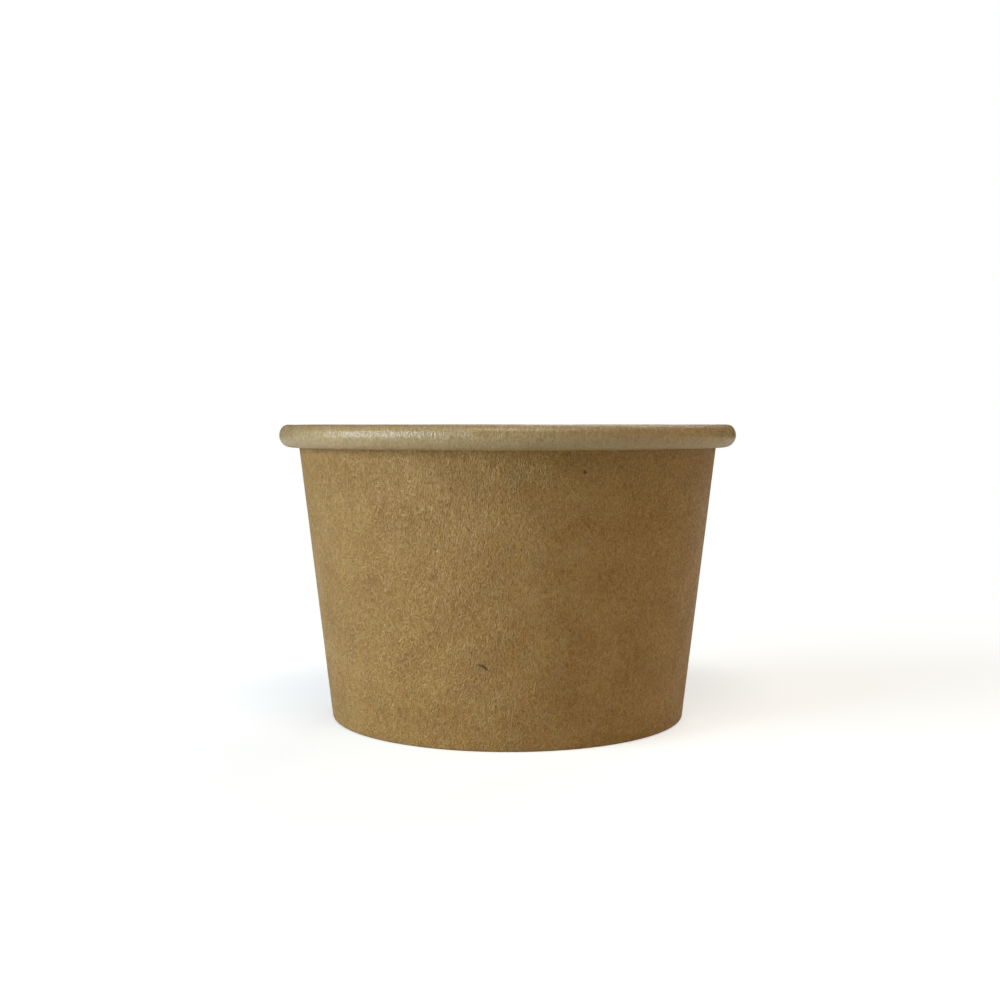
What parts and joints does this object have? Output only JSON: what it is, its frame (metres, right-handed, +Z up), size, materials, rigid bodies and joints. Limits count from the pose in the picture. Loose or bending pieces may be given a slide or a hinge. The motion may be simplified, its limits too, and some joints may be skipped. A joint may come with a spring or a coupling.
{
  "type": "kraft paper portion pot",
  "caption": "Small round tapered kraft paper pot with a rolled rim and a recessed base, for a single serving of sauce, dip or dessert.",
  "frame": {"origin": "middle of the ring that the pot stands on, at the table", "axes": "+Z up along the pot's axis to the open rim; the wall's lapped seam faces +Y"},
  "size_m": [0.074, 0.074, 0.0475],
  "materials": {
    "wall_board": "matte brown kraft board outside, clear semi-gloss lining inside",
    "base_board": "brown kraft board with a clear semi-gloss lining on its upper face"
  },
  "bodies": {
    "root": {"side_wall": "wall_board", "base_disc": "base_board"}
  },
  "joints": []
}
